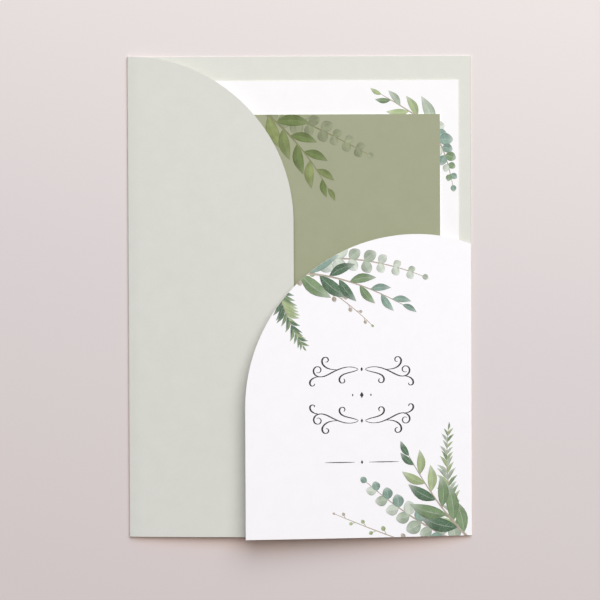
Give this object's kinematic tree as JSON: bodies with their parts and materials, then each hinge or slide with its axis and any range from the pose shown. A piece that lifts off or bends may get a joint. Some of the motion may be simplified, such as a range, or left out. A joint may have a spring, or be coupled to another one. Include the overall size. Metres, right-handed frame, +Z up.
{
  "type": "pocket fold invitation",
  "caption": "Closed pocket fold invitation: a folded board with a rounded side flap and an arched front cover over stepped insert cards.",
  "frame": {"origin": "bottom centre of the closed folder: middle of its outline, on the surface that it lies on", "axes": "+X towards the arched cover's fold, +Y up along the folds to the top edge, +Z up out of the front"},
  "size_m": [0.121, 0.169, 0.0086],
  "materials": {
    "folder_board": "matt uncoated board, pale sage, the arched front cover white with printed sprigs",
    "white_card": "matt uncoated white card with a printed sprig",
    "olive_card": "matt card printed flat olive green with a darker sprig"
  },
  "bodies": {
    "root": {"pocket_folder": "folder_board", "insert_card_large": "white_card", "insert_card_small": "olive_card"}
  },
  "joints": []
}
